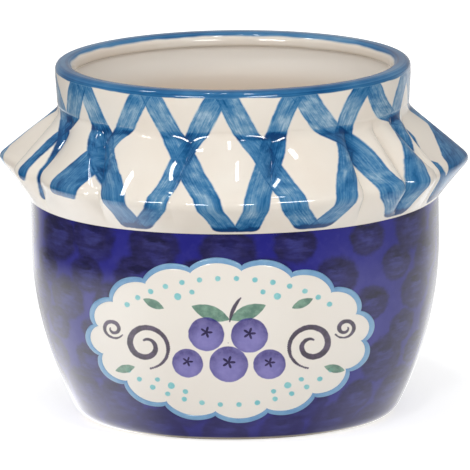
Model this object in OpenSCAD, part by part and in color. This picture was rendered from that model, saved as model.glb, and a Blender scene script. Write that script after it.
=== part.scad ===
// Oval glazed-ceramic planter in the shape of a jam jar with a cloth tied over its mouth.
// The frame: +Z up, the front with the label towards -Y, the origin at the middle of the base.
// Every ring of the pot is the same oval: a "radius" below is its half-width along X,
// and its half-depth along Y is that radius times oval (or bore_oval inside the wall).

/* [Jar] */
// Width of the belly, side to side
belly_w = 174; // [150:1:200]
// Depth of the belly, front to back
belly_d = 139; // [120:1:170]
// Height at which the belly is widest
belly_z = 78; // [70:1:88]
// Radius of the belly's curve below its widest level
belly_curve = 160; // [140:1:180]
// Rounding where the belly meets the base
base_round = 10; // [6:0.5:12]
// Thickness of the cast wall
wall = 4; // [3:0.25:5]
// Thickness of the floor
floor_t = 5.5; // [4:0.5:8]
// Rounding between the floor and the wall inside
well_round = 12; // [8:1:16]
// Width of the foot ring
foot_w = 7; // [5:0.5:10]
// Height of the foot ring below the floor
foot_h = 2; // [1:0.25:3]
// Height of the seam between the jar and the neck
seam_z = 134.5; // [130:0.5:145]
// Width of the neck at that seam
neck_w = 148.4; // [140:0.2:150]

/* [Neck and lip] */
// Height of the neck collar
collar_h = 13.5; // [10:0.5:20]
// How far the collar widens from its foot to its top, each side
collar_flare = 1.5; // [0:0.1:4]
// How far the collar's rounded foot stands out over the crease below it
collar_foot = 0.8; // [0.4:0.1:1.2]
// Height of the lip
lip_h = 6; // [5:0.25:8]
// Thickness of the lip, inside to outside
lip_t = 8; // [7:0.25:10]
// Rounding of the lip's outer top edge
lip_round = 2.5; // [1.5:0.25:3.5]
// Rounding of the lip's inner top edge
lip_inner_round = 3.5; // [1.5:0.25:3.5]

/* [Frill] */
// Width of the frill, tip to tip
frill_w = 199.6; // [190:0.2:215]
// Height of the frill's widest line at the front and back
ridge_z = 109; // [107:0.5:114]
// How much higher that line is at the sides
ridge_lift = 2.5; // [0:0.5:4]
// Height of the hem
hem_z = 95; // [92:0.5:98]
// Thickness of the hem at its edge
hem_t = 1; // [0.8:0.1:2]
// Thickness of the frill's cast wall
frill_wall = 3.5; // [2.5:0.25:4.5]
// How far a pleat swells above a straight fall
pleat_swell = 0.7; // [0:0.1:2]
// How far the gathers sink in below the crease
gather = 2.4; // [0:0.2:3]
// Length of the turned-under corner along the widest line
ridge_round = 3.6; // [2:0.2:6]

/* [Label] */
// Width of the label's cream field, as seen from the front
label_w = 111.4; // [90:0.2:116]
// Height of the label's cream field
label_h = 63.6; // [50:0.2:66]
// Height of the label's middle above the base
label_z = 46.8; // [45:0.2:49]
// Width of the border round the label
border_w = 2.4; // [1.5:0.1:4]
// Thickness of the label's layers
label_t = 0.4; // [0.3:0.05:0.8]
// Number of scallops round the label
scallops = 16; // [10:2:24]
// Height of a scallop
scallop_h = 3.5; // [1:0.25:5]

/* [Hidden] */

// Running values shared by the pieces
belly_r = belly_w / 2;
neck_r = neck_w / 2;
collar_top_r = neck_r + collar_flare;
lip_r = collar_top_r;
frill_r = frill_w / 2;
overhang = frill_r - belly_r;
oval = belly_d / belly_w;
bore_oval = (belly_d / 2 - wall) / (belly_r - wall);
lip_bore_oval = (lip_r * oval - lip_t) / (lip_r - lip_t);
floor_z = foot_h + floor_t;
collar_z = seam_z + collar_h;
seat_gap = 0.3;    // between the frill and the jar that carries it
label_lift = 0.12; // between the label and the curved wall behind it

// The shoulder is an S-curve from the belly to the neck, hidden under the frill
shoulder_below_hem = 1;
neck_below_seam = 9;
shoulder_bottom = hem_z - shoulder_below_hem;
shoulder_top = seam_z - neck_below_seam;

// The pleats of the front, from left to right, in degrees from the front towards +X. Each one is
// [angle of its first valley at the widest line, that angle at the crease,
//  depth of that valley as a share of the frill's overhang,
//  share of the way to the next valley at which its crest is, how flat its crest is, its height]
front_pleats = [
    [-76, -86, 0.62, 0.45, 2, 0.8],
    [-61.5, -65, 0.58, 0.75, 2, 1],
    [-35.5, -47, 0.35, 0.45, 2.2, 1],
    [-14.5, -12, 0.16, 0.55, 2.2, 1],
    [11, 14.5, 0.24, 0.8, 2.2, 1],
    [37, 41, 0.43, 0.68, 1.7, 1],
    [51.5, 54, 0.58, 0.5, 2, 0.95],
    [64.5, 65, 0.27, 0.45, 1.6, 0.45],
    [69, 76, 0.66, 0.5, 1.25, 1]];

// The back is the front's mirror image
pleats = concat(front_pleats,
    [for (i = [len(front_pleats) - 1 : -1 : 0])
        let (valley = front_pleats[i],
             shape = front_pleats[(i + len(front_pleats) - 1) % len(front_pleats)])
        [180 - valley[0], 180 - valley[1], valley[2], 1 - shape[3], shape[4], shape[5]]]);
facets_per_pleat = 10;
gather_bias = 0.7; // below 1, the gathers are deepest near the crease
lean_bias = 1.2;   // above 1, the valleys turn to their angle at the crease late

// The scallops round the label
facets_per_scallop = 6;
label_lines = scallops * facets_per_scallop;
scallop_bias = 0.7; // below 1, the scallops are rounder than a cosine

// --- Outlines, as [radius, height] ---

// Radius of the jar's outside at height z, above the rounding of its base
function jar_r(z) =
    z <= belly_z ? belly_r - belly_curve + sqrt(pow(belly_curve, 2) - pow(belly_z - z, 2)) :
    z <= shoulder_bottom ? belly_r :
    z < shoulder_top ? shoulder_r(z, neck_r, belly_r, shoulder_bottom, shoulder_top) : neck_r;

function shoulder_r(z, top_r, bottom_r, bottom, top) =
    top_r + (bottom_r - top_r) * (1 + cos(180 * (z - bottom) / (top - bottom))) / 2;

// An arc of the belly's curve, inset from its outside, and the rounding below it
belly_centre_r = belly_r - belly_curve;

function round_centre_r(inset, rounding, base) =
    belly_centre_r + sqrt(pow(belly_curve - inset - rounding, 2) - pow(belly_z - base - rounding, 2));

function belly_start(inset, rounding, base) =
    atan2(base + rounding - belly_z, round_centre_r(inset, rounding, base) - belly_centre_r);

function base_rounding(inset, rounding, base, steps) =
    let (end = belly_start(inset, rounding, base), centre_r = round_centre_r(inset, rounding, base))
    [for (i = [0 : steps]) let (a = -90 + (end + 90) * i / steps)
        [centre_r + rounding * cos(a), base + rounding * (1 + sin(a))]];

function belly_arc(inset, rounding, base, steps) =
    let (start = belly_start(inset, rounding, base))
    [for (i = [1 : steps]) let (a = start * (1 - i / steps))
        [belly_centre_r + (belly_curve - inset) * cos(a), belly_z + (belly_curve - inset) * sin(a)]];

function shoulder_curve(top_r, bottom_r, bottom, top, steps) =
    [for (i = [0 : steps]) let (z = bottom + (top - bottom) * i / steps)
        [shoulder_r(z, top_r, bottom_r, bottom, top), z]];

jar_outline = concat(
    [[0, foot_h],
     [round_centre_r(0, base_round, 0) - foot_w - foot_h, foot_h],
     [round_centre_r(0, base_round, 0) - foot_w, 0]],
    base_rounding(0, base_round, 0, 5),
    belly_arc(0, base_round, 0, 14),
    shoulder_curve(neck_r, belly_r, shoulder_bottom, shoulder_top, 10),
    [[neck_r, seam_z], [0, seam_z]]);

well_outline = concat(
    [[0, floor_z]],
    base_rounding(wall, well_round, floor_z, 6),
    belly_arc(wall, well_round, floor_z, 12),
    shoulder_curve(neck_r - wall, belly_r - wall, shoulder_bottom - wall / 2, shoulder_top - wall / 2, 10),
    [[neck_r - wall, seam_z + 1], [0, seam_z + 1]]);

// --- Jar, neck and lip ---

// An outline turned in two halves, each drawn in to an oval
module oval_turned(outline, ratio) {
    for (turn = [0, 180])
        scale([1, ratio, 1])
            rotate(turn)
                rotate_extrude(angle = 180, $fn = 96)
                    polygon(outline);
}

module jar_body() {
    color([0.17, 0.16, 0.45])
        difference() {
            oval_turned(jar_outline, oval);
            oval_turned(well_outline, bore_oval);
        }
}

module neck_collar() {
    through = 1;
    foot_round = 2.5;
    foot_r = neck_r + collar_foot;
    foot_start = -acos(1 - collar_foot / foot_round);
    color([0.93, 0.89, 0.82])
        difference() {
            oval_turned(concat(
                [[0, seam_z], [neck_r, seam_z]],
                [for (i = [0 : 3]) let (a = foot_start * (1 - i / 3))
                    [foot_r - foot_round * (1 - cos(a)), seam_z + foot_round * (1 + sin(a))]],
                [[collar_top_r, collar_z], [0, collar_z]]), oval);
            oval_turned([[0, seam_z - through], [neck_r - wall, seam_z - through], [neck_r - wall, seam_z],
                         [collar_top_r - wall, collar_z], [collar_top_r - wall, collar_z + through],
                         [0, collar_z + through]], bore_oval);
        }
}

module rim_lip() {
    top = collar_z + lip_h;
    bore_r = lip_r - lip_t;
    color([0.27, 0.42, 0.60])
        difference() {
            oval_turned(concat(
                [[0, collar_z], [lip_r, collar_z]],
                [for (a = [0 : 18 : 90])
                    [lip_r - lip_round * (1 - cos(a)), top - lip_round * (1 - sin(a))]],
                [[0, top]]), oval);
            oval_turned(concat(
                [[0, collar_z - 1], [bore_r, collar_z - 1]],
                [for (a = [0 : 18 : 90])
                    [bore_r + lip_inner_round * (1 - cos(a)), top - lip_inner_round * (1 - sin(a))]],
                [[bore_r + lip_inner_round, top + 1], [0, top + 1]]), lip_bore_oval);
        }
}

// --- Frill ---

// How full a pleat is at its share s of the way between two valleys: 0 in a valley, 1 at its crest
function fullness(s, crest, flatness) =
    1 - pow(s < crest ? 1 - s / crest : (s - crest) / (1 - crest), flatness);

// Every facet line of the frill, as [angle at the widest line, angle at the crease, fullness, depth]
function frill_lines() = [
    for (i = [0 : len(pleats) - 1])
        let (
            this = pleats[i],
            last = i + 1 == len(pleats),
            next = pleats[last ? 0 : i + 1] + (last ? [360, 360, 0, 0, 0, 0] : [0, 0, 0, 0, 0, 0]))
        for (j = [0 : facets_per_pleat - 1])
            let (
                s = (1 - cos(180 * j / facets_per_pleat)) / 2,
                at = between(this, next, s))
            [at[0], at[1], this[5] * fullness(s, this[3], this[4]), at[2]]];

// A point on the straight way from p to q, and on a rounded corner at c
function between(p, q, s) = p + (q - p) * s;
function corner_point(p, c, q, s) = between(between(p, c, s), between(c, q, s), s);

// The frill's closed section where a pleat is that full: out, under and back inside.
// Each point is [radius, height, share of the gathers' lean].
function frill_section(angle, full, depth) =
    let (
        seam = [neck_r + seat_gap, seam_z],
        hem = [belly_r + seat_gap + hem_t, hem_z],
        edge = [frill_r - depth * overhang * (1 - full), ridge_z + ridge_lift * pow(sin(angle), 2)],
        out = (edge - seam) / norm(edge - seam),
        under = (hem - edge) / norm(hem - edge),
        up = [-out[1], out[0]],
        ridge = edge + [ridge_round * (out[0] - under[0]) / 4, 0],
        above = ridge - out * ridge_round,
        below = ridge + under * ridge_round,
        swell = pleat_swell * full,
        sink = gather * (1 - full),
        heart = between(seam, above, 0.4) + up * (swell - sink - frill_wall),
        inside = [edge[0] - frill_wall * 1.5, edge[1]])
    concat(
        [for (u = [0, 0.15, 0.35, 0.6, 0.8, 1])
            let (
                lift = swell * sin(180 * u) - sink * sin(180 * pow(u, gather_bias)),
                p = between(seam, above, u) + up * lift)
            [p[0], p[1], pow(1 - u, lean_bias)]],
        [for (s = [0.25, 0.5, 0.75]) leaning(corner_point(above, ridge, below, s), 0)],
        [leaning(below, 0),
         leaning(hem, 0),
         leaning([belly_r + seat_gap, hem_z], 0),
         leaning([belly_r + seat_gap, hem_z + hem_t], 0),
         leaning(off_shoulder(inside - [frill_wall / 3, frill_wall / 2]), 0),
         leaning(off_shoulder(inside + [-frill_wall / 2, frill_wall / 2]), 0),
         leaning(off_shoulder(heart), 0.5),
         leaning([neck_r + seat_gap, seam_z - frill_wall * 1.3], 1)]);

function leaning(p, share) = [p[0], p[1], share];

// A point of the frill's inside, kept off the shoulder behind it
function off_shoulder(p) = [max(p[0], jar_r(p[1]) + seat_gap), p[1]];

// A closed ring of sections: each row of points is one section, joined to the next
module ring_of(rows) {
    count = len(rows);
    size = len(rows[0]);
    points = [for (row = rows) for (p = row) p];
    faces = [for (i = [0 : count - 1]) for (j = [0 : size - 1])
        let (
            a = i * size + j,
            b = i * size + (j + 1) % size,
            c = ((i + 1) % count) * size + (j + 1) % size,
            d = ((i + 1) % count) * size + j)
        each [[a, b, c], [a, c, d]]];
    polyhedron(points = points, faces = faces, convexity = 6);
}

// A point of the pot's frame at an angle from the front, at that radius and height
function around(angle, p) = [p[0] * sin(angle), -p[0] * oval * cos(angle), p[1]];

module frill() {
    color([0.93, 0.89, 0.82])
        ring_of([for (line = frill_lines()) [for (p = frill_section(line[0], line[2], line[3]))
            around(line[0] + (line[1] - line[0]) * p[2], p)]]);
}

// --- Label ---

// A point of the label's outline, grown outwards, as [across, up] from its middle
function label_edge(angle, grow) =
    let (
        bump = scallop_h * pow(abs(cos(angle * scallops / 2)), scallop_bias),
        out = [cos(angle) * label_h, sin(angle) * label_w])
    [cos(angle) * label_w / 2, sin(angle) * label_h / 2] + out / norm(out) * (bump + grow);

// That point laid on the jar's front, a distance out from its wall
function on_jar(p, lift) =
    let (
        z = label_z + p[1],
        r = jar_r(z),
        y = -oval * sqrt(r * r - p[0] * p[0]),
        slope = (jar_r(z + 0.1) - jar_r(z - 0.1)) / 0.2,
        out = [p[0], y / (oval * oval), -r * slope])
    [p[0], y, z] + out / norm(out) * lift;

module label_panel() {
    rings = 9;
    back = [for (j = [1 : rings]) [for (i = [0 : label_lines - 1])
        on_jar(label_edge(360 * i / label_lines, 0) * j / rings, label_lift)]];
    front = [for (j = [1 : rings]) [for (i = [0 : label_lines - 1])
        on_jar(label_edge(360 * i / label_lines, 0) * j / rings, label_lift + label_t)]];
    points = concat([on_jar([0, 0], label_lift), on_jar([0, 0], label_lift + label_t)],
                    [for (row = back) each row], [for (row = front) each row]);
    function at(side, j, i) = 2 + (side * rings + j) * label_lines + i % label_lines;
    faces = concat(
        [for (i = [0 : label_lines - 1]) each [
            [0, at(0, 0, i), at(0, 0, i + 1)],
            [1, at(1, 0, i + 1), at(1, 0, i)]]],
        [for (j = [0 : rings - 2]) for (i = [0 : label_lines - 1]) each [
            [at(0, j, i), at(0, j + 1, i), at(0, j + 1, i + 1)],
            [at(0, j, i), at(0, j + 1, i + 1), at(0, j, i + 1)],
            [at(1, j, i), at(1, j + 1, i + 1), at(1, j + 1, i)],
            [at(1, j, i), at(1, j, i + 1), at(1, j + 1, i + 1)]]],
        [for (i = [0 : label_lines - 1]) each [
            [at(0, rings - 1, i), at(1, rings - 1, i), at(1, rings - 1, i + 1)],
            [at(0, rings - 1, i), at(1, rings - 1, i + 1), at(0, rings - 1, i + 1)]]]);
    color([0.95, 0.92, 0.86])
        polyhedron(points = points, faces = faces, convexity = 4);
}

module label_border() {
    color([0.49, 0.68, 0.85])
        ring_of([for (i = [0 : label_lines - 1]) let (angle = 360 * i / label_lines)
            [on_jar(label_edge(angle, 0), label_lift),
             on_jar(label_edge(angle, border_w), label_lift),
             on_jar(label_edge(angle, border_w), label_lift + label_t),
             on_jar(label_edge(angle, 0), label_lift + label_t)]]);
}

jar_body();
neck_collar();
rim_lip();
frill();
label_panel();
label_border();
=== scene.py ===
import math

import bpy
import numpy as np
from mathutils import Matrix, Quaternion, Vector


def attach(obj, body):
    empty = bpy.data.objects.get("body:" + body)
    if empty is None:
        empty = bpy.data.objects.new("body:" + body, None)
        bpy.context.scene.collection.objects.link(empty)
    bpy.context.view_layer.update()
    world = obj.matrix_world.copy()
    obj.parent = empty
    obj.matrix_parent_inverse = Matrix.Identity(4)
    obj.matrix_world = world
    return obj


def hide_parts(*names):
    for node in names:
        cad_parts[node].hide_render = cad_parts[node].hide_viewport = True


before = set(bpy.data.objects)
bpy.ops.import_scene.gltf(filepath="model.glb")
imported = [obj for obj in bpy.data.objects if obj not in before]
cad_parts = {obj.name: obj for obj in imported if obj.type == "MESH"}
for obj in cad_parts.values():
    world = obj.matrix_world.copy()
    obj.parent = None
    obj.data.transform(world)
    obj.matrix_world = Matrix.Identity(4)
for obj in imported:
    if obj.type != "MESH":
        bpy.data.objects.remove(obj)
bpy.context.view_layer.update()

# -------- sizes in mm, as the part has them
# Every ring of the pot is one oval: a radius is its half-width along X, and its half-depth is that
# radius times OVAL. Angles are in degrees from the front (-Y) towards +X.
BELLY_R, BELLY_HALF_D, BELLY_Z, BELLY_CURVE = 87.0, 69.5, 78.0, 160.0
OVAL = BELLY_HALF_D / BELLY_R
WALL, FLOOR_T, WELL_ROUND = 4.0, 5.5, 12.0
BASE_ROUND, FOOT_W, FOOT_H = 10.0, 7.0, 2.0
BORE_OVAL = (BELLY_HALF_D - WALL) / (BELLY_R - WALL)
SEAM_Z, NECK_R = 134.5, 74.2
COLLAR_H, COLLAR_FLARE, COLLAR_FOOT, FOOT_ROUND = 13.5, 1.5, 0.8, 2.5
COLLAR_Z, COLLAR_R = SEAM_Z + COLLAR_H, NECK_R + COLLAR_FLARE
LIP_H, LIP_T, LIP_ROUND, LIP_INNER_ROUND = 6.0, 8.0, 2.5, 3.5
LIP_BORE_OVAL = (COLLAR_R * OVAL - LIP_T) / (COLLAR_R - LIP_T)
FRILL_R, RIDGE_Z, RIDGE_LIFT, RIDGE_ROUND = 99.8, 109.0, 2.5, 3.6
HEM_Z, HEM_T, SEAT_GAP = 95.0, 1.0, 0.3
OVERHANG = FRILL_R - BELLY_R
# The hem is a little higher at both sides, and the frill's widest line at the left
SIDE_HEM_LIFT, LEFT_RIDGE_LIFT = 2.0, 1.8
LABEL_W, LABEL_H, LABEL_Z = 111.4, 63.6, 46.8
BORDER_W, SCALLOPS, SCALLOP_H, SCALLOP_BIAS = 2.4, 16, 3.5, 0.7
# The label was put on a little to the left, with its scallops turned
LABEL_X, SCALLOP_TURN = -1.0, 5.0

FAR = 1e9           # a distance before anything near has been found
RING_LINES = 640    # lines of points round a turned piece
rng = np.random.default_rng(7)


# -------- mesh helpers
def new_object(name, data):
    ob = bpy.data.objects.new(name, data)
    bpy.context.scene.collection.objects.link(ob)
    return ob


def add_attribute(me, name, values):
    """A number or a triple of numbers per vertex, for the materials to read."""
    values = np.asarray(values, np.float32)
    kind, field = ("FLOAT_VECTOR", "vector") if values.ndim == 3 else ("FLOAT", "value")
    me.attributes.new(name, kind, "POINT").data.foreach_set(field, values.ravel())


def grid_mesh(name, pts, attrs=None, flip=False):
    """A surface from pts[u][v] in mm, closed round u, with attributes for its material."""
    nu, nv = pts.shape[:2]
    idx = np.arange(nu * nv).reshape(nu, nv)
    after = np.roll(idx, -1, 0)
    quads = np.stack([idx[:, :-1], after[:, :-1], after[:, 1:], idx[:, 1:]], -1).reshape(-1, 4)
    if flip:
        quads = quads[:, ::-1]
    me = bpy.data.meshes.new(name)
    me.vertices.add(nu * nv)
    me.vertices.foreach_set("co", (pts.reshape(-1, 3) / 1000.0).astype(np.float32).ravel())
    me.loops.add(quads.size)
    me.polygons.add(len(quads))
    me.loops.foreach_set("vertex_index", quads.astype(np.int32).ravel())
    me.polygons.foreach_set("loop_start", np.arange(0, quads.size, 4, dtype=np.int32))
    me.update(calc_edges=True)
    me.validate()
    me.polygons.foreach_set("use_smooth", np.ones(len(quads), bool))
    for key, values in (attrs or {}).items():
        add_attribute(me, key, values)
    return new_object(name, me)


def around(theta, r, z, oval=OVAL):
    """Points of the pot at those angles, radii and heights."""
    t = np.radians(theta)
    return np.stack([r * np.sin(t), -r * oval * np.cos(t), z + 0 * t], -1)


def mm_per_degree(theta, r):
    """How far one degree goes round an oval ring."""
    t = np.radians(theta)
    return np.hypot(r * np.cos(t), r * OVAL * np.sin(t)) * math.pi / 180


def walked(line):
    """Length along a polyline at each of its points."""
    return np.r_[0, np.cumsum(np.hypot(*np.diff(line, axis=0).T))]


def resample(line, step):
    """A polyline of [r, z] walked in even steps."""
    d = walked(line)
    s = np.linspace(0, d[-1], max(2, int(round(d[-1] / step)) + 1))
    return np.stack([np.interp(s, d, axis) for axis in line.T], -1)


def arc(cx, cz, r, a0, a1, n):
    """Points of a round stretch of an outline, from angle a0 to a1."""
    a = np.radians(np.linspace(a0, a1, n))
    return np.stack([cx + r * np.cos(a), cz + r * np.sin(a)], -1)


def bend(start, corner, end, q):
    """Points at the shares q of a curve that leaves the start and reaches the end towards the corner."""
    return start * (1 - q) ** 2 + corner * 2 * q * (1 - q) + end * q**2


def unit(v):
    return v / np.linalg.norm(v, axis=-1, keepdims=True)


def wrap180(a):
    return (a + 180) % 360 - 180


def turned(name, line, oval=OVAL, attrs=None, flip=False):
    """An outline of [r, z] swept round the oval; attrs(theta, line) gives what its material reads."""
    r, z = line.T
    theta = np.linspace(-180, 180, RING_LINES, endpoint=False)[:, None] + 0 * r
    return grid_mesh(name, around(theta, r, z, oval), attrs(theta, line) if attrs else None, flip)


# -------- the gingham, as lines to measure from
# Lengths down the cloth: 0 at the lip's top edge, COLLAR_TOP_L where the lip meets the collar, then the
# crease, the widest line and the hem.
COLLAR_TOP_L, CREASE_L, RIDGE_L, TUCK_L, HEM_L = 7.4, 21.0, 51.0, 54.0, 71.0
COLUMNS, HEM_END = 13, HEM_L - 1.1
# Each stripe's centre is a line through the lengths ROWS, and its half-width one through WIDTH_ROWS:
# the collar, the frill below the crease and, where they are given, the slope above the frill's widest
# line and that line itself. A third item is the length at which that stripe stops; the others stop at
# HEM_END.
ROWS = np.array([0.0, 14.0, 30.0, 48.0, 56.0, 72.0])
WIDTH_ROWS = (18.0, 26.0, 48.0, 56.0)
# The front's stripes, by the rim crossing that they start from: angles at ROWS, and half-widths.
# One set leans right as it goes down, the other left.
LEAN_RIGHT = {
    12: ([-92.0, -78.0, -64.6, -60.8, -61.4, -62.4], (4.7, 2.8, 1.5), 64.0),
    0: ([-57.2, -50.0, -42.5, -31.5, -28.5, -26.5], (4.7, 5.8)),
    1: ([-27.6, -21.5, -13.8, -6.4, -3.4, 0.0], (4.7, 5.3)),
    2: ([-1.9, 3.6, 10.6, 15.4, 17.6, 23.0], (4.9, 5.4)),
    3: ([22.8, 30.2, 42.0, 43.2, 46.5, 52.0], (5.2, 5.6)),
    4: ([51.2, 57.6, 75.0, 67.4, 72.0, 72.0], (4.7, 1.6, 2.2, 6.4)),
    5: ([79.2, 87.5, 90.5, 90.0, 89.0, 88.0], (5.2, 4.0)),
}
LEAN_LEFT = {
    12: ([-85.2, -90.0, -92.5, -91.5, -90.0, -88.0], (4.7, 3.4)),
    0: ([-57.2, -63.0, -67.6, -66.6, -66.2, -66.0], (5.8, 2.2), 54.5),
    1: ([-27.6, -34.3, -41.0, -44.8, -46.5, -50.0], (4.5, 3.8, 8.2), 54.8),
    2: ([-1.9, -8.2, -14.3, -16.5, -19.2, -26.0], (4.7, 4.2)),
    3: ([22.8, 17.0, 13.0, 7.9, 6.6, 4.0], (4.4, 5.6)),
    4: ([51.2, 41.9, 38.0, 31.3, 29.5, 24.0], (4.6, 4.8)),
    5: ([79.2, 70.0, 65.0, 56.5, 54.5, 52.0], (4.5, 5.6, 4.6)),
    6: ([107.1, 102.0, 95.0, 87.5, 84.5, 81.0], (6.4, 5.4, 12.4)),
}
RIM_FRONT = [LEAN_RIGHT[k][0][0] for k in range(5)]
RIM_TURNS = np.r_[RIM_FRONT, np.linspace(RIM_FRONT[-1], RIM_FRONT[0] + 360, COLUMNS - 3)[1:-1]]
# The back's stripes: how much of one pitch they have crossed at ROWS, their half-widths in mm, and how
# many degrees each row may stray, but for the first
BACK_SHARES = np.array([0.0, 0.24, 0.5, 0.76, 0.87, 1.1])
BACK_WIDTHS, BACK_WANDER = (4.8, 4.8), 1.5


def all_stripes(front, lean):
    """The front's stripes as listed, and the back's at an even pitch with a little wander."""
    stripes = []
    pitch = lean * 360 / COLUMNS
    for k in range(COLUMNS):
        if k in front:
            stripes.append((*front[k], HEM_END)[:3])
            continue
        wander = rng.uniform(-BACK_WANDER, BACK_WANDER, len(ROWS)) * (ROWS > 0)
        stripes.append((RIM_TURNS[k] + pitch * BACK_SHARES + wander, BACK_WIDTHS, HEM_END))
    return stripes


STRIPES = (all_stripes(LEAN_RIGHT, 1), all_stripes(LEAN_LEFT, -1))
BEND = np.linspace(-5, 5, 7)        # lengths that are averaged, so that a stripe bends softly
POOL_L, END_ROUND = 5.0, 2.6        # how far the blue pools before a stripe's end, and the end's corners
SLOPE_STEP = 0.5                    # half the length over which a stripe's slope is measured
STROKE_ID = 137.0                   # keeps the brush marks of one stripe apart from the next one's


def centre_line(angles, length):
    """A stripe's angle at any length: its rows joined by soft bends, and carried on past both ends."""
    first = (angles[1] - angles[0]) / (ROWS[1] - ROWS[0])
    last = (angles[-1] - angles[-2]) / (ROWS[-1] - ROWS[-2])
    total = 0
    for step in BEND:
        at = length + step
        past = np.clip(at - ROWS[-1], 0, None) * last + np.clip(at - ROWS[0], None, 0) * first
        total = total + np.interp(at, ROWS, angles) + past
    return total / len(BEND)


def rounded_end(beside, beyond):
    """Distance from a stripe's edge: its side and its end, joined by a rounded corner."""
    side, end = beside + END_ROUND, beyond + END_ROUND
    outside = np.hypot(np.clip(side, 0, None), np.clip(end, 0, None))
    return outside + np.clip(np.maximum(side, end), None, 0) - END_ROUND


def lattice(theta, length, radius):
    """Per set of stripes: distance from the nearest one's edge, across it, and along it; and the pools
    of blue where a stripe stops."""
    per_degree = mm_per_degree(theta, radius)
    found = []
    pooled = 0
    for family, stripes in enumerate(STRIPES):
        best = np.full(theta.shape, FAR)
        across = along = np.zeros(theta.shape)
        for k, (angles, widths, end) in enumerate(stripes):
            at = centre_line(angles, length)
            further, before = (centre_line(angles, length + step) for step in (SLOPE_STEP, -SLOPE_STEP))
            lean = np.sqrt(1 + ((further - before) / (2 * SLOPE_STEP) * per_degree) ** 2)
            d = wrap180(theta - at) * per_degree / lean
            half = np.interp(length, WIDTH_ROWS[:len(widths)], widths)
            edge = rounded_end(np.abs(d) - half, length - end)
            near_end = np.clip(1 - (end - length) / POOL_L, 0, 1) * np.clip(half + 1 - np.abs(d), 0, 1)
            pooled = np.maximum(pooled, near_end)
            hit = edge < best
            best = np.where(hit, edge, best)
            across = np.where(hit, d, across)
            along = np.where(hit, length * lean + STROKE_ID * (k + 1 + COLUMNS * family), along)
        found.append(np.stack([best, across, along], -1))
    return *found, pooled


# -------- the frill
# The front's valleys, left to right: angle at the widest line, angle at the crease, depth as a share of
# the overhang, depth of the gather near the crease; then the pleat up to the next valley: where its
# crest is, how full its left and right sides are, its height and how far it swells.
VALLEYS = [
    (-76.0, -86.0, 0.62, 2.2, 0.45, 2.0, 2.0, 0.80, 0.3),
    (-61.5, -65.0, 0.58, 2.2, 0.78, 1.7, 2.6, 1.0, 0.6),
    (-35.5, -47.0, 0.35, 3.2, 0.45, 2.2, 2.2, 1.0, 0.9),
    (-14.5, -12.0, 0.16, 2.6, 0.55, 2.2, 2.2, 1.0, 0.9),
    (11.0, 14.5, 0.24, 2.6, 0.80, 1.9, 2.8, 1.0, 0.9),
    (37.0, 41.0, 0.43, 2.4, 0.68, 1.3, 2.4, 1.0, 0.4),
    (51.5, 54.0, 0.58, 2.0, 0.50, 1.8, 2.2, 0.95, 0.6),
    (64.5, 65.0, 0.27, 2.8, 0.45, 1.6, 1.6, 0.45, 0.3),
    (69.0, 76.0, 0.66, 2.2, 0.50, 1.25, 1.25, 1.0, 0.2),
]
GATHER_BIAS, LEAN_BIAS = 0.7, 1.2
# Lines on a pleat: how many per span of degrees, how many at least, and the share that crowds the valleys
PLEAT_STEPS, PLEAT_SPAN, LEAST_STEPS, CROWDING = 56, 20, 16, 0.6
SEAM, HEM_R = np.array([NECK_R, SEAM_Z]), BELLY_R + SEAT_GAP + HEM_T
# The glaze that fills the crease: its upper end on the collar's foot and its corner, as steps from the
# seam, the cloth's length at the upper end, and where it ends as a share of the fall
FILL_TOP, FILL_CORNER, FILL_TOP_L, FILL_END = (0.60, 1.9), (0.45, -0.5), 18.0, 0.085
# The hem's edge, as steps from the hem: rolled under, and on into the jar
INTO_JAR = 0.1 - SEAT_GAP - HEM_T
HEM_ROLL = np.array([(-0.25, -0.35), (-0.6, -0.4), (INTO_JAR, -0.1), (INTO_JAR, 2)])
# Shares down the four stretches of a line: the crease's glaze, the fall, the rounding and the tuck
FILL = np.linspace(0, 1, 12 + 1)[:-1]
FALL = np.linspace(FILL_END, 1, 64)
ROUND = np.linspace(0, 1, 14 + 2)[1:-1]
TUCK = np.linspace(0, 1, 34)
# Blue settles in the valleys: up to this fullness, and fading over this length to its end
FOLD_FULL, FOLD_SPAN, FOLD_END_L = 0.5, 16, RIDGE_L + 5


def all_valleys():
    """The front's valleys and, mirrored, the back's."""
    rows = [list(v) for v in VALLEYS]
    for i in range(len(VALLEYS) - 1, -1, -1):
        turn, top, depth, gather = VALLEYS[i][:4]
        crest, left, right, peak, swell = VALLEYS[i - 1][4:]
        rows.append([180 - turn, 180 - top, depth, gather, 1 - crest, right, left, peak, swell])
    return rows


def frill_lines():
    """Lines down the frill: bottom and top angle, fullness, depth at the ridge, gather and swell."""
    rows = []
    valleys = all_valleys()
    for i, (b0, t0, d0, g0, crest, left, right, peak, swell) in enumerate(valleys):
        b1, t1, d1, g1 = valleys[(i + 1) % len(valleys)][:4]
        if i == len(valleys) - 1:
            b1, t1 = b1 + 360, t1 + 360
        count = max(LEAST_STEPS, int(PLEAT_STEPS * (b1 - b0) / PLEAT_SPAN))
        for j in range(count):
            s = CROWDING * (1 - math.cos(math.pi * j / count)) / 2 + (1 - CROWDING) * j / count
            side = 1 - s / crest if s < crest else (s - crest) / (1 - crest)
            full = 1 - side ** (left if s < crest else right)
            rows.append((b0 + (b1 - b0) * s, t0 + (t1 - t0) * s, full * peak, d0 + (d1 - d0) * s,
                         g0 + (g1 - g0) * s, swell * full))
    return np.array(rows)


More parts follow.
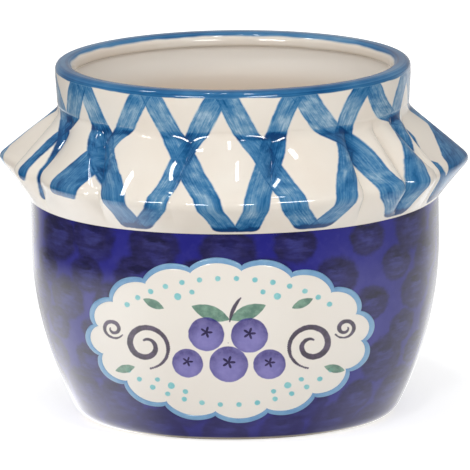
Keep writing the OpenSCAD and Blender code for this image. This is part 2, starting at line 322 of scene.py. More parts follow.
def frill_corner(bottom, full, depth):
    """The corner at the widest line between the ends of its rounding, the hem, and the way down."""
    side = np.sin(np.radians(bottom))
    edge_r = FRILL_R - depth * OVERHANG * (1 - full)
    ridge_z = RIDGE_Z + RIDGE_LIFT * side**2 + LEFT_RIDGE_LIFT * np.clip(-side, 0, 1) ** 3
    hem_z = HEM_Z + SIDE_HEM_LIFT * side**6
    down = unit(np.stack([edge_r - SEAM[0], ridge_z - SEAM[1]], -1))
    under = unit(np.stack([HEM_R - edge_r, hem_z - ridge_z], -1))
    ridge = np.stack([edge_r + RIDGE_ROUND * (down[..., 0] - under[..., 0]) / 4, ridge_z], -1)
    hem = np.stack([HEM_R + 0 * edge_r, hem_z], -1)
    return ridge - down * RIDGE_ROUND, ridge, ridge + under * RIDGE_ROUND, hem, down


def frill_skin(bottom, full, depth, gather, swell):
    """Each line of the frill as points [r, z], from the crease to the hem's rolled edge."""
    above, ridge, below, hem, down = frill_corner(bottom, full, depth)
    out = np.stack([-down[..., 1], down[..., 0]], -1)
    fill_q, u, round_q, tuck_q = (shares[None, :, None] for shares in (FILL, FALL, ROUND, TUCK))
    fall = SEAM + (above - SEAM) * u
    dip = gather[..., None] * (1 - full[..., None]) * np.sin(np.pi * u**GATHER_BIAS)
    fall = fall + out * (swell[..., None] * np.sin(np.pi * u) - dip)
    fill = bend(SEAM + FILL_TOP, SEAM + FILL_CORNER, fall[:, :1], fill_q)
    rounding = bend(above, ridge, below, round_q)
    tuck = below + (hem - below) * tuck_q
    return np.concatenate([fill, fall, rounding, tuck[:, 1:], hem + HEM_ROLL], 1)


def frill_lengths():
    """The length of the cloth at each point down a line."""
    fall = CREASE_L + (RIDGE_L - CREASE_L) * FALL
    return np.concatenate([
        FILL_TOP_L + (fall[0] - FILL_TOP_L) * FILL,
        fall,
        RIDGE_L + (TUCK_L - RIDGE_L) * ROUND,
        TUCK_L + (HEM_L - TUCK_L) * TUCK[1:],
        np.full(len(HEM_ROLL), HEM_L + 1)])


def frill_surface():
    """The frill's visible skin, from the crease over the widest line to the hem, and its attributes."""
    bottom, top, full, depth, gather, swell = (v[:, None] for v in frill_lines().T)
    skin = frill_skin(bottom, full, depth, gather, swell)
    r, z = skin[..., 0], skin[..., 1]
    down_share = np.concatenate([FILL * FILL_END, FALL])
    lean = np.zeros(r.shape[1])
    lean[:len(down_share)] = (1 - down_share) ** LEAN_BIAS
    theta = bottom + (top - bottom) * lean
    length = frill_lengths() + 0 * theta
    pa, pb, pooled = lattice(theta, length, r)
    fold = np.clip(1 - full / FOLD_FULL, 0, 1) * np.clip((FOLD_END_L - length) / FOLD_SPAN, 0, 1)
    return around(theta, r, z), {"pa": pa, "pb": pb, "fold": np.maximum(fold, pooled), "down": length}


# -------- outlines of the turned pieces
SHOULDER = (HEM_Z - 3, SEAM_Z - 11)     # the heights between which the bowl narrows to its neck
BELOW_LIP, BELOW_LIP_ROUND = 1.2, 1.6   # the inside's last corner, hidden under the lip
MIDDLE_R = 0.01                         # a ring this small closes an outline at the pot's middle
# The collar: how far out from its foot and up from the seam its straight side ends, and its last points,
# hidden under the frill, as steps from the seam
FOOT_OUT, FOOT_TOP, UNDER_FRILL = 0.3, 7.5, np.array([(-0.1, 0.0), (-1.2, -0.4)])
# The lower edge of the lip's overhang: its rounding, that arc's rise above the collar and the angle where
# it ends, and how far the last point lies inside the wall
DRIP_ROUND, DRIP_RISE, DRIP_END, LIP_END = 1.5, 1.4, 262, 0.3


def jar_r(z):
    """The jar's radius at a height: an arc up to the belly's widest line, and straight above it."""
    low = BELLY_R - BELLY_CURVE + np.sqrt(BELLY_CURVE**2 - np.clip(BELLY_Z - z, 0, None) ** 2)
    return np.where(z <= BELLY_Z, low, BELLY_R)


def base_rounding(inset, rounding, base):
    """The rounding at the foot of a wall: its centre's radius, and the angle where the belly goes on."""
    belly_centre = BELLY_R - BELLY_CURVE
    reach = math.sqrt((BELLY_CURVE - inset - rounding) ** 2 - (BELLY_Z - base - rounding) ** 2)
    return belly_centre + reach, math.degrees(math.atan2(base + rounding - BELLY_Z, reach))


def outside_line():
    """From the middle of the underside over the foot ring and up the wall to just above the hem."""
    c, start = base_rounding(0, BASE_ROUND, 0)
    return resample(np.concatenate([
        [[MIDDLE_R, FOOT_H], [c - FOOT_W - FOOT_H, FOOT_H]],
        arc(c - FOOT_W, FOOT_H, FOOT_H, 180, 270, 8),
        arc(c, BASE_ROUND, BASE_ROUND, -90, start, 10),
        arc(BELLY_R - BELLY_CURVE, BELLY_Z, BELLY_CURVE, start, 0, 60)[1:],
        [[BELLY_R, HEM_Z + SIDE_HEM_LIFT + 1]]]), step=1.0)


def inside_line():
    """From the middle of the bowl's floor up the wall, in at the shoulder and up the neck to the lip."""
    floor_z = FLOOR_T + FOOT_H
    c, start = base_rounding(WALL, WELL_ROUND, floor_z)
    zs = np.linspace(*SHOULDER, 24)
    share = (1 + np.cos(np.pi * (zs - zs[0]) / (zs[-1] - zs[0]))) / 2
    return resample(np.concatenate([
        [[MIDDLE_R, floor_z]],
        arc(c, floor_z + WELL_ROUND, WELL_ROUND, -90, start, 14),
        arc(BELLY_R - BELLY_CURVE, BELLY_Z, BELLY_CURVE - WALL, start, 0, 40)[1:],
        np.stack([NECK_R - WALL + (BELLY_R - NECK_R) * share, zs], -1),
        [[NECK_R - WALL, SEAM_Z], [COLLAR_R - WALL, COLLAR_Z - BELOW_LIP]],
        arc(COLLAR_R - WALL - BELOW_LIP_ROUND, COLLAR_Z - BELOW_LIP, BELOW_LIP_ROUND, 0, 90, 8)]), step=1.2)


def collar_line():
    """From the lip down, nearly upright, with the foot rounded in to the crease."""
    foot_end = -math.degrees(math.acos(1 - COLLAR_FOOT / FOOT_ROUND))
    return resample(np.concatenate([
        [[COLLAR_R, COLLAR_Z], [NECK_R + COLLAR_FOOT + FOOT_OUT, SEAM_Z + FOOT_TOP]],
        arc(NECK_R + COLLAR_FOOT - FOOT_ROUND, SEAM_Z + FOOT_ROUND, FOOT_ROUND, 0, foot_end, 8),
        SEAM + UNDER_FRILL]), step=0.5)


def lip_line():
    """Up the lip's outer side, over it, and down to its overhang inside."""
    bore_r, top = COLLAR_R - LIP_T, COLLAR_Z + LIP_H
    return resample(np.concatenate([
        [[COLLAR_R, COLLAR_Z]],
        arc(COLLAR_R - LIP_ROUND, top - LIP_ROUND, LIP_ROUND, 0, 90, 14),
        arc(bore_r + LIP_INNER_ROUND, top - LIP_INNER_ROUND, LIP_INNER_ROUND, 90, 180, 14),
        arc(bore_r + DRIP_ROUND, COLLAR_Z + DRIP_RISE, DRIP_ROUND, 180, DRIP_END, 8),
        [[COLLAR_R - WALL - LIP_END, COLLAR_Z]]]), step=0.4)


def lip_oval(line):
    """The lip is equally thick all round, so its bore is a slightly flatter oval."""
    share = np.clip((line[:, 0] - COLLAR_R + LIP_T) / LIP_T, 0, 1)
    return LIP_BORE_OVAL + (OVAL - LIP_BORE_OVAL) * share


def collar_attrs(theta, line):
    d = walked(line)
    length = COLLAR_TOP_L + d * (CREASE_L - COLLAR_TOP_L) / d[-1] + 0 * theta
    pa, pb, _ = lattice(theta, length, COLLAR_R)
    return {"pa": pa, "pb": pb, "fold": 0 * length, "down": length}


def lip_attrs(theta, line):
    over = walked(line) + 0 * theta
    pa, pb, _ = lattice(theta, COLLAR_TOP_L - over, COLLAR_R)
    return {"pa": pa, "pb": pb, "fold": 0 * over, "down": COLLAR_TOP_L - over, "over": over}


# -------- the jar's painted berries
BERRY_ROWS, BERRIES_ROUND, BERRY_PITCH, BERRY_R = 7, 18, 14.0, 10.6
TOP_BERRIES_Z, ROW_SHIFT, BERRY_SQUASH = 88.0, 0.13, 0.88
# How far a berry may stray: in degrees round the jar, in mm of height, and in mm of radius, down or up
BERRY_STRAY, BERRY_RISE, BERRY_SPREAD = 2.4, 2.0, (-2.0, 2.2)


def berry_row(row):
    """Angle, height and radius of each berry in a row."""
    for k in range(BERRIES_ROUND):
        steps = k + 0.5 * (row % 2) + ROW_SHIFT * row
        turn = 360 / BERRIES_ROUND * steps + rng.uniform(-BERRY_STRAY, BERRY_STRAY)
        height = TOP_BERRIES_Z - row * BERRY_PITCH + rng.uniform(-BERRY_RISE, BERRY_RISE)
        yield turn, height, BERRY_R + rng.uniform(*BERRY_SPREAD)


def berry_attrs(theta, line):
    """Place inside the nearest berry of every other row, so that berries of two rows may overlap."""
    r, z = (axis + 0 * theta for axis in line.T)
    per_degree = mm_per_degree(theta, r)
    found = {}
    for first_row, key in enumerate(("ba", "bb")):
        best = np.full(theta.shape, FAR)
        x = y = ident = np.zeros(theta.shape)
        for row in range(first_row, BERRY_ROWS, 2):
            for k, (turn, height, radius) in enumerate(berry_row(row)):
                dx = wrap180(theta - turn) * per_degree / radius
                dy = (z - height) / (radius * BERRY_SQUASH)
                d = np.hypot(dx, dy)
                hit = d < best
                best, x, y = np.where(hit, d, best), np.where(hit, dx, x), np.where(hit, dy, y)
                ident = np.where(hit, row * BERRIES_ROUND + k + 1.0, ident)
        found[key] = np.stack([x, y, ident], -1)
        found[key + "_distance"] = best
    return found


# -------- the label
LABEL_LIFT, LABEL_EDGE_DROP, BORDER_LIFT = 0.5, 0.08, 0.64
LABEL_LINES, LABEL_RINGS, INNERMOST = 1152, 150, 0.004
# The border's cushion: places across it and how high it stands there, as shares of its width and lift
BORDER_PLACES = np.array([0, 0.05, 0.15, 0.33, 0.54, 0.75, 0.88, 0.96, 1.0])
BORDER_HEIGHTS = np.array([0.69, 0.88, 0.97, 1, 1, 0.97, 0.86, 0.55, 0.03])
SLOPE_REACH = 0.1       # how far above and below a point the jar's slope is measured


def label_edge(angle, grow):
    """Points of the scalloped outline, [across, up] from the label's middle, grown by that much."""
    a = np.radians(angle)
    turned_a = np.radians(angle - SCALLOP_TURN)
    bump = SCALLOP_H * np.abs(np.cos(turned_a * SCALLOPS / 2)) ** SCALLOP_BIAS
    out = unit(np.stack([np.cos(a) * LABEL_H, np.sin(a) * LABEL_W], -1))
    middle = np.stack([np.cos(a) * LABEL_W / 2, np.sin(a) * LABEL_H / 2], -1)
    return middle + out * (bump + grow)[..., None]


def on_jar(p, lift):
    """Points of the label, [across, up] from its middle, laid on the jar's front."""
    x, z = LABEL_X + p[..., 0], LABEL_Z + p[..., 1]
    r = jar_r(z)
    y = -OVAL * np.sqrt(r * r - x * x)
    slope = (jar_r(z + SLOPE_REACH) - jar_r(z - SLOPE_REACH)) / (2 * SLOPE_REACH)
    out = unit(np.stack([x, y / OVAL**2, -r * slope], -1))
    return np.stack([x, y, z], -1) + out * (lift + 0 * x)[..., None]


# The drawing on the label: berries in the middle with two leaves, a scroll on each side with a leaf
# and dots, and a row of dots above and below. Places are [across, up] in mm from the label's middle.
# Berries: place and radius; their crowns: size and rise as shares of that radius, and points
BERRIES = [(-9.2, 3.8, 7.6), (9.0, 3.2, 7.8), (-17.4, -9.6, 6.6), (0.0, -9.8, 8.2), (17.2, -10.2, 6.8)]
CROWN_SHARE, CROWN_RISE, CROWN_POINTS = 0.36, 0.12, 5
SHADE_DROP = 0.35       # how far below its middle a berry's shade is centred, as a share of its radius
# Leaves: where they start, where they point, length and width
LEAVES = [(0.8, 10.4, 160, 17.0, 6.6), (0.8, 10.4, 22, 16.5, 6.4), (-40.0, -13.0, 200, 9.0, 3.8),
          (40.0, -13.0, -20, 9.0, 3.8), (-27.0, 14.6, 158, 9.5, 3.8), (27.0, 14.6, 22, 9.5, 3.8)]
# Scrolls: centre, first and last radius, first and last angle, greatest half-width of the stroke
SCROLLS = [(-35.0, -2.6, 10.6, 2.4, -80, 470, 1.35), (-49.0, 3.4, 4.6, 1.2, 330, -190, 0.9)]
# The stem: both ends with the corner that it bends towards, and its half-width
STEM, STEM_HALF_WIDTH = ((0.8, 9.6), (1.8, 15.6), (5.6, 20.0)), 0.85
# The rows of dots: how many would go right round, on what share of the label's size, their radius, and
# the degrees that are left free at each end
DOTS_ROUND, DOTS_SHARE, DOT_R, DOTS_GAP = 40, 0.90, 1.15, 26.0
# Dots by themselves, drawn on both sides: place and radius
LONE_DOTS = [(-21.0, 20.2, 1.5), (-15.0, 22.4, 1.1), (-24.6, -20.4, 1.5), (-18.6, -22.8, 1.1),
             (-30.4, -18.0, 1.1)]
SCROLL_POINTS, STEM_POINTS = 110, 40


def to_disc(p, x, y, r):
    """Distance from the points p to a disc; below 0 inside it, as for all of these."""
    return np.hypot(p[..., 0] - x, p[..., 1] - y) - r


def to_star(p, x, y, r, points):
    """Distance to a small rounded star."""
    a = np.arctan2(p[..., 1] - y, p[..., 0] - x)
    return to_disc(p, x, y, r * (0.62 + 0.38 * np.cos(a * points)))


def to_leaf(p, x, y, turn, long, wide):
    """Distance to a lens-shaped leaf that starts at x, y."""
    t = math.radians(turn)
    along = (p[..., 0] - x) * math.cos(t) + (p[..., 1] - y) * math.sin(t)
    off = np.abs((p[..., 1] - y) * math.cos(t) - (p[..., 0] - x) * math.sin(t))
    s = np.clip(along / long, 0, 1)
    inside = off - wide / 2 * np.sin(np.pi * s) ** 0.8
    return np.maximum(inside, np.abs(along - long / 2) - long / 2)


def to_stroke(p, line, half):
    """Distance to a brush stroke along a polyline: thin at its ends and full in its middle."""
    best = np.full(p.shape[:-1], FAR)
    for i, (x, y) in enumerate(line):
        swell = half * (0.35 + 0.65 * math.sin(math.pi * i / (len(line) - 1)))
        best = np.minimum(best, to_disc(p, x, y, swell))
    return best


def spiral(x, y, r0, r1, a0, a1):
    a = np.radians(np.linspace(a0, a1, SCROLL_POINTS))
    r = np.linspace(r0, r1, SCROLL_POINTS)
    return np.stack([x + r * np.cos(a), y + r * np.sin(a)], -1)


def stem():
    first, corner, last = (np.array(place) for place in STEM)
    return bend(first, corner, last, np.linspace(0, 1, STEM_POINTS)[:, None])


def dots():
    """Place and radius of each dot, but for the mirror images of the lone ones."""
    rows = []
    for k in range(DOTS_ROUND):
        angle = 360 * (k + 0.5) / DOTS_ROUND
        if abs(wrap180(2 * angle)) >= DOTS_GAP * 2:
            a = math.radians(angle)
            x, y = LABEL_W / 2 * math.cos(a), LABEL_H / 2 * math.sin(a)
            rows.append((x * DOTS_SHARE, y * DOTS_SHARE, DOT_R))
    return rows + LONE_DOTS


def label_inks(p):
    """Distances from the edge of what each ink covers, and how far down its shaded side a berry is."""
    def nearest(distances):
        return np.minimum.reduce(list(distances))

    mirror = p * (-1, 1)
    all_dots = [to_disc(p, *dot) for dot in dots()] + [to_disc(mirror, *dot) for dot in LONE_DOTS]
    strokes = [to_stroke(p, stem(), STEM_HALF_WIDTH)]
    for *shape, half in SCROLLS:
        strokes += [to_stroke(side, spiral(*shape), half) for side in (p, mirror)]
    return {
        "ink_berry": nearest(to_disc(p, *berry) for berry in BERRIES),
        "ink_crown": nearest(
            to_star(p, x, y + r * CROWN_RISE, r * CROWN_SHARE, CROWN_POINTS) for x, y, r in BERRIES),
        "ink_leaf": nearest(to_leaf(p, *leaf) for leaf in LEAVES),
        "ink_stroke": nearest(strokes),
        "ink_dot": nearest(all_dots),
        "berry_shade": nearest(to_disc(p, x, y - r * SHADE_DROP, 0) / r for x, y, r in BERRIES)}


def label_layer(name, shares, grows, lifts, inks=None):
    """A layer of the label from rings that are shares of its outline, or grown from it."""
    angle = np.linspace(0, 360, LABEL_LINES, endpoint=False)
    flat = np.stack([label_edge(angle, g) * s for s, g in zip(shares, grows)], 1)
    return grid_mesh(name, on_jar(flat, lifts), inks(flat) if inks else None)


def label_field():
    shares = np.linspace(INNERMOST, 1, LABEL_RINGS)
    lifts = np.where(shares < 1, LABEL_LIFT, LABEL_LIFT - LABEL_EDGE_DROP)
    return label_layer("label_field", shares, 0 * shares, lifts, label_inks)


def label_band():
    shares = np.ones(len(BORDER_PLACES))
    return label_layer("label_edge_band", shares, BORDER_W * BORDER_PLACES, BORDER_LIFT * BORDER_HEIGHTS)


# -------- pieces
jar_outside = turned("jar_outside", outside_line(), attrs=berry_attrs)
jar_inside = turned("jar_inside", inside_line(), oval=BORE_OVAL, flip=True)
collar = turned("collar_band", collar_line(), attrs=collar_attrs, flip=True)
lip = turned("lip_ring", lip_line(), oval=lip_oval(lip_line()), attrs=lip_attrs)
frill = grid_mesh("frill_pleats", *frill_surface(), flip=True)
label = label_field()
border = label_band()


# -------- shader helpers
def srgb(*colour):
    """A colour as a screen shows it, from 0 to 255, as the linear one that shaders take."""
    levels = [c / 255 for c in colour]
    return tuple(c / 12.92 if c <= 0.04045 else ((c + 0.055) / 1.055) ** 2.4 for c in levels)


class Tree:
    """Short calls that add nodes to a tree; most return the new node's output."""

    def __init__(self, node_tree):
        self.nodes, self.links = node_tree.nodes, node_tree.links

    def feed(self, node, inputs):
        """Link or set a node's inputs, in order or by name; three numbers are a colour."""
        for slot, value in inputs.items() if isinstance(inputs, dict) else enumerate(inputs):
            if isinstance(value, bpy.types.NodeSocket):
                self.links.new(value, node.inputs[slot])
            else:
                node.inputs[slot].default_value = (*value, 1.0) if isinstance(value, tuple) else value

    def node(self, kind, inputs=(), **settings):
        """A new node, with what feeds its inputs and with its settings."""
        n = self.nodes.new("ShaderNode" + kind)
        for name, value in settings.items():
            setattr(n, name, value)
        self.feed(n, inputs)
        return n

    def math(self, op, *values):
        return self.node("Math", values, operation=op).outputs[0]

    def add(self, a, b):
        return self.math("ADD", a, b)

    def mul(self, a, b):
        return self.math("MULTIPLY", a, b)

    def most(self, a, b):
        return self.math("MAXIMUM", a, b)

    def linear(self, value, factor, offset):
        """The value times the factor, and the offset added."""
        return self.math("MULTIPLY_ADD", value, factor, offset)

    def inverse(self, share):
        return self.math("SUBTRACT", 1.0, share)

    def length(self, x, y):
        return self.math("POWER", self.add(self.mul(x, x), self.mul(y, y)), 0.5)

    def split(self, vector):
        return self.node("SeparateXYZ", (vector,)).outputs

    def join(self, x, y, z=0.0):
        return self.node("CombineXYZ", (x, y, z)).outputs[0]

    def number(self, name):
        return self.node("Attribute", attribute_name=name).outputs["Fac"]

    def triple(self, name):
        return self.split(self.node("Attribute", attribute_name=name).outputs["Vector"])

    def place(self):
        return self.node("TexCoord").outputs["Object"]

    def noise(self, vector, scale=1.0, detail=3.0, rough=0.5):
        inputs = {"Vector": vector, "Scale": scale, "Detail": detail, "Roughness": rough}
        return self.node("TexNoise", inputs).outputs["Fac"]

    def cloud(self, scale, detail=3.0, rough=0.5):
        """Noise over the pot, of about that many waves to a metre."""
        return self.noise(self.place(), scale, detail, rough)

    def ramp(self, value, stops):
        n = self.node("ValToRGB", (value,))
        marks = n.color_ramp.elements
        while len(marks) < len(stops):
            marks.new(0.5)
        for mark, (position, colour) in zip(marks, stops):
            mark.position = position
            mark.color = (*colour, 1.0)
        return n.outputs[0]

    def curve(self, value, stops):
        """A number that follows value through the stops, all between 0 and 1."""
        return self.ramp(value, [(at, (level, level, level)) for at, level in stops])

    def smooth(self, value, low, high, bottom=0.0, top=1.0):
        """From bottom at low to top at high; low may be the larger of the two."""
        inputs = value, low, high, bottom, top
        return self.node("MapRange", inputs, interpolation_type="SMOOTHSTEP").outputs[0]

    def fade(self, value, start, end):
        """From 1 at start to 0 at end."""
        return self.inverse(self.smooth(value, start, end))

    def emission(self, strength):
        return self.node("Emission", {"Strength": strength}).outputs[0]

    def choose(self, which, yes, no):
        """The one number where which is 1, and the other where it is 0."""
        return self.node("Mix", {0: which, 3: yes, 2: no}).outputs[0]

    def mix(self, share, a, b):
        """The colour a, and b where the share is 1."""
        return self.node("Mix", {0: share, 6: a, 7: b}, data_type="RGBA").outputs[2]


class Surface(Tree):
    """The tree of a new material, with its shader."""

    def __init__(self, name):
        self.material = bpy.data.materials.new(name)
        self.material.use_nodes = True
        super().__init__(self.material.node_tree)
        self.nodes.clear()
        self.bsdf = self.node("BsdfPrincipled")
        self.output = self.node("OutputMaterial", self.bsdf.outputs[:1])

    def glaze(self, colour, wave_mm=0.06, wave_scale=60.0, rough=0.3, coat_rough=0.03):
        """Colour under a clear and slightly wavy glaze."""
        height = self.cloud(wave_scale, 2.0, 0.4)
        bump = self.node("Bump", {"Strength": 1.0, "Distance": wave_mm / 1000, "Height": height}).outputs[0]
        self.feed(self.bsdf, {
            "Base Color": colour, "Roughness": rough, "Specular IOR Level": 0.05, "Normal": bump,
            "Coat Weight": 1.0, "Coat Roughness": coat_rough, "Coat IOR": 1.5, "Coat Normal": bump})
        return self.material


# -------- materials
# The brushed blue, from its thinnest wash to its deepest pool
BLUES = [
    (0.0, srgb(166, 192, 210)),
    (0.22, srgb(114, 156, 187)),
    (0.45, srgb(68, 127, 172)),
    (0.66, srgb(38, 104, 154)),
    (0.84, srgb(14, 82, 134)),
    (1.0, srgb(4, 62, 114)),
]
# How strong the blue is down the cloth, as shares of its length from the rim to the hem
STRENGTH = [(0.0, 0.50), (0.09, 0.42), (0.17, 0.24), (0.25, 0.24), (0.30, 0.42), (0.42, 0.45),
            (0.70, 0.38), (0.80, 0.40), (0.92, 0.50), (1.0, 0.60)]
# In mm: how far a stripe's edge sways and frays, over what width it fades, and where its paler edge is
SWAY, FRAY, STRIPE_FADE, STRIPE_RIM = 1.3, 0.6, (-0.55, 0.35), (-1.8, -0.5)
MARKS_LIFT = 0.6        # keeps the marks of both sets above 0 while the stronger one is chosen
# Lengths of the cloth: where the blue deepens below the crease, where it ends at the hem, and where it
# has settled there
DEEPER_L, PAINT_END_L, SETTLED_L = (20.0, 27.0), (HEM_L + 0.6, HEM_L + 1.2), (HEM_L - 5.0, HEM_L + 0.2)
CREASE_POOL_L, CREASE_POOL = CREASE_L + 1.6, (0.6, 3.2)     # the pool's middle, and how far it reaches
# Over the lip, in mm from the collar: the two edges of its blue band, the stretch where the band is
# thinner, and where the gingham ends
BAND_START, BAND_END, BAND_THIN, GINGHAM_END = (1.7, 2.3), (12.7, 14.0), (1.6, 4.0, 8.6, 9.8), (8.0, 9.0)
# Behind the pot's middle the lip's band reaches a little further in, and is paler as a painted highlight.
BACK_RIM_WIDER_AND_PAINTED_HIGHLIGHT = (0.0, 0.045)     # metres behind the pot's middle, over which the lip's band gets paler
# Heights in metres: where painted shade darkens and warms the bowl's glaze, where the jar's blue is deeper
# below the hem and paler near the foot as painted floor light, and where the foot is wiped clean
BOWL_PAINTED_SHADE, UNDER_HEM = (0.141, 0.128), (0.07, 0.092)
FOOT_PAINTED_LIGHT, WIPED_FOOT = (0.03, 0.006), (0.0012, 0.0022)


def cream(t):
    """Warm white glaze with faint clouds and specks."""
    base = t.ramp(t.cloud(28.0, 3.0, 0.55), [(0.3, srgb(238, 227, 213)), (0.7, srgb(243, 236, 225))])
    specks = t.smooth(t.cloud(240.0, 2.0, 0.6), 0.62, 0.8)
    return t.mix(t.mul(specks, 0.10), base, srgb(216, 202, 184))


def brushed_stripe(t, key):
    """Where one set of stripes is, and how strong its blue is, with the marks of the brush."""
    edge, across, along = t.triple(key)

    def grain(across_scale, along_scale, detail, rough):
        return t.noise(t.join(t.mul(across, across_scale), t.mul(along, along_scale)), 1.0, detail, rough)

    sway = t.noise(t.join(t.mul(along, 0.09), 0.0), 1.0, 2.0)
    edge = t.linear(sway, SWAY, t.add(edge, -SWAY / 2))
    edge = t.linear(grain(0.6, 0.35, 3.0, 0.6), FRAY, t.add(edge, -FRAY / 2))
    mask = t.fade(edge, *STRIPE_FADE)
    hairs = t.linear(grain(1.7, 0.09, 4.0, 0.62), 0.95, -0.475)
    blots = t.linear(grain(0.20, 0.13, 4.0, 0.6), 1.5, -0.77)
    rim = t.mul(t.smooth(edge, *STRIPE_RIM), 0.12)
    return mask, t.add(t.add(hairs, blots), rim)


def brushed_strength(t, stripes_a, stripes_b, down):
    """How strong the blue of both sets is, stronger in patches and where they cross."""
    (mask_a, marks_a), (mask_b, marks_b) = stripes_a, stripes_b
    strength = t.curve(t.mul(down, 1 / HEM_L), STRENGTH)
    marks = t.most(t.mul(mask_a, t.add(marks_a, MARKS_LIFT)), t.mul(mask_b, t.add(marks_b, MARKS_LIFT)))
    strength = t.add(strength, t.add(marks, -MARKS_LIFT))
    crossing = t.mul(t.mul(mask_a, mask_b), t.smooth(t.cloud(70.0, 3.0, 0.6), 0.42, 0.62))
    strength = t.add(strength, t.mul(crossing, 0.10))
    deep = t.mul(t.smooth(t.cloud(24.0, 2.0, 0.5), 0.44, 0.62), t.smooth(down, *DEEPER_L))
    return t.linear(deep, 0.22, strength)


def settled(t, strength, down, ends):
    """The same with what has run together in the crease, in the valleys and at the hem."""
    smear = t.cloud(95.0, 3.0, 0.55)
    uneven = t.smooth(t.cloud(42.0, 3.0, 0.6), 0.30, 0.56)
    from_pool = t.math("ABSOLUTE", t.add(t.linear(smear, 3.2, down), -CREASE_POOL_L))
    crease = t.mul(t.fade(from_pool, *CREASE_POOL), uneven)
    fold = t.mul(t.number("fold"), t.linear(smear, 0.9, -0.1))
    hem = t.mul(t.smooth(ends, *SETTLED_L), t.linear(uneven, 0.6, 0.4))
    return t.add(t.add(strength, t.mul(crease, 0.52)), t.add(t.mul(fold, 0.58), hem))


def painted_lattice(t):
    """The two sets of stripes together: where there is blue, and how strong it is."""
    stripes_a, stripes_b = brushed_stripe(t, "pa"), brushed_stripe(t, "pb")
    down = t.number("down")
    ends = t.linear(t.cloud(130.0, 2.0, 0.5), 2.4, down)
    laid = t.fade(ends, *PAINT_END_L)
    painted = t.mul(t.most(stripes_a[0], stripes_b[0]), laid)
    return painted, settled(t, brushed_strength(t, stripes_a, stripes_b, down), down, ends)


def finish_paint(t, painted, strength):
    return t.glaze(t.mix(painted, cream(t), t.ramp(strength, BLUES)), 0.07)


def gingham_material():
    t = Surface("gingham_glaze")
    return finish_paint(t, *painted_lattice(t))


def lip_band(t, over):
    """The blue brushed round the lip: where it is, and how strong."""
    wave = t.cloud(48.0, 2.0, 0.5)
    behind = t.smooth(t.split(t.place())[1], *BACK_RIM_WIDER_AND_PAINTED_HIGHLIGHT)
    outer = t.smooth(t.linear(wave, -2.2, over), *BAND_START)
    inner = t.smooth(t.add(t.linear(wave, 2.4, over), t.mul(behind, -0.6)), *BAND_END)
    hairs = t.noise(t.join(t.mul(over, 1.2), t.cloud(16.0, 1.0)), 1.0, 4.0, 0.6)
    strength = t.add(t.linear(hairs, 0.9, -0.1), t.linear(t.cloud(34.0, 3.0, 0.55), 1.2, -0.3))
    thin = t.mul(t.smooth(over, *BAND_THIN[:2]), t.fade(over, *BAND_THIN[2:]))
    strength = t.linear(t.inverse(thin), 0.12, strength)
    # Paler towards the back: a painted highlight.
    return t.mul(outer, t.inverse(inner)), t.linear(behind, -0.22, strength)


def lip_material():
    """The gingham's upper end, and over it a band of blue brushed round the lip."""
    t = Surface("gingham_glaze_lip")
    painted, strength = painted_lattice(t)
    over = t.number("over")
    band, band_strength = lip_band(t, over)
    strength = t.most(t.mul(band_strength, band), t.mul(strength, t.inverse(band)))
    below = t.mul(painted, t.fade(over, *GINGHAM_END))
    return finish_paint(t, t.most(below, band), strength)


def interior_material():
    """Cream glaze, paler than outside as painted light, and darker and warmer deeper in the bowl as painted
    shade.
    """
    t = Surface("cream_glaze_inside")
    # Paler than the cream outside: painted light.
    colour = t.mix(0.94, cream(t), srgb(255, 250, 242))
    # Darker and warmer deeper in the bowl: painted shade.
    painted_shade = t.smooth(t.split(t.place())[2], *BOWL_PAINTED_SHADE)
    colour = t.mix(t.mul(painted_shade, 0.55), colour, srgb(222, 198, 172))
    return t.glaze(colour, 0.09, 45.0, 0.35, 0.05)


def berry(t, key, ground):
    """One set of berries over the ground: round dabs, bluer in the middle, with a dark brushed crown."""
    x, y, ident = t.triple(key)
    distance = t.number(key + "_distance")
    wobble = t.noise(t.join(t.mul(x, 1.6), t.mul(y, 1.6), ident), 1.0, 4.0, 0.65)
    reach = t.linear(wobble, 0.5, distance)
    mask = t.fade(reach, 1.06, 1.34)
    strokes = t.noise(t.join(t.mul(x, 1.4), t.mul(y, 4.2), t.mul(ident, 1.7)), 1.0, 4.0, 0.6)
    sheen = t.fade(t.math("ABSOLUTE", t.add(distance, -0.68)), 0.0, 0.3)
    sheen = t.mul(sheen, t.smooth(y, 0.1, -0.55))
    tone = t.add(t.linear(strokes, 1.3, -0.40), t.mul(sheen, 0.28))
    tone = t.linear(t.fade(reach, 0.45, 1.0), 0.42, tone)
    colour = t.ramp(tone, [(0.05, srgb(28, 24, 56)), (0.45, srgb(43, 40, 86)), (0.95, srgb(66, 68, 136))])
    crown = t.length(t.mul(x, 1.9), t.mul(t.add(y, -0.42), 3.4))
    crown = t.fade(t.linear(strokes, 1.6, crown), 1.2, 1.7)
    colour = t.mix(t.mul(crown, 0.7), colour, srgb(18, 15, 32))
    cover = t.linear(t.noise(t.join(x, y, ident), 1.4, 3.0, 0.6), 0.9, 0.42)
    return t.mix(t.mul(mask, t.math("MINIMUM", cover, 0.96)), ground, colour)


def jar_material():
    """Blue glaze in thin and thick washes, with two sets of berries, and bare where the foot is wiped."""
    t = Surface("blue_glaze_berries")
    height = t.split(t.place())[2]
    washes = [(0.25, srgb(36, 34, 117)), (0.5, srgb(51, 49, 135)), (0.78, srgb(73, 71, 147))]
    ground = t.ramp(t.cloud(30.0, 4.0, 0.6), washes)
    ground = t.mix(t.mul(t.smooth(height, *UNDER_HEM), 0.6), ground, srgb(26, 26, 132))
    colour = berry(t, "bb", berry(t, "ba", ground))
    # Paler and greyer towards the foot: painted light bounced up from the floor.
    colour = t.mix(t.mul(t.smooth(height, *FOOT_PAINTED_LIGHT), 0.35), colour, srgb(96, 92, 146))
    mottle = t.smooth(t.cloud(320.0, 2.0, 0.6), 0.45, 0.8)
    colour = t.mix(t.mul(mottle, 0.10), colour, srgb(92, 90, 160))
    wiped = t.fade(height, *WIPED_FOOT)
    return t.glaze(t.mix(wiped, colour, srgb(226, 214, 196)), 0.05, 55.0, 0.35, 0.035)


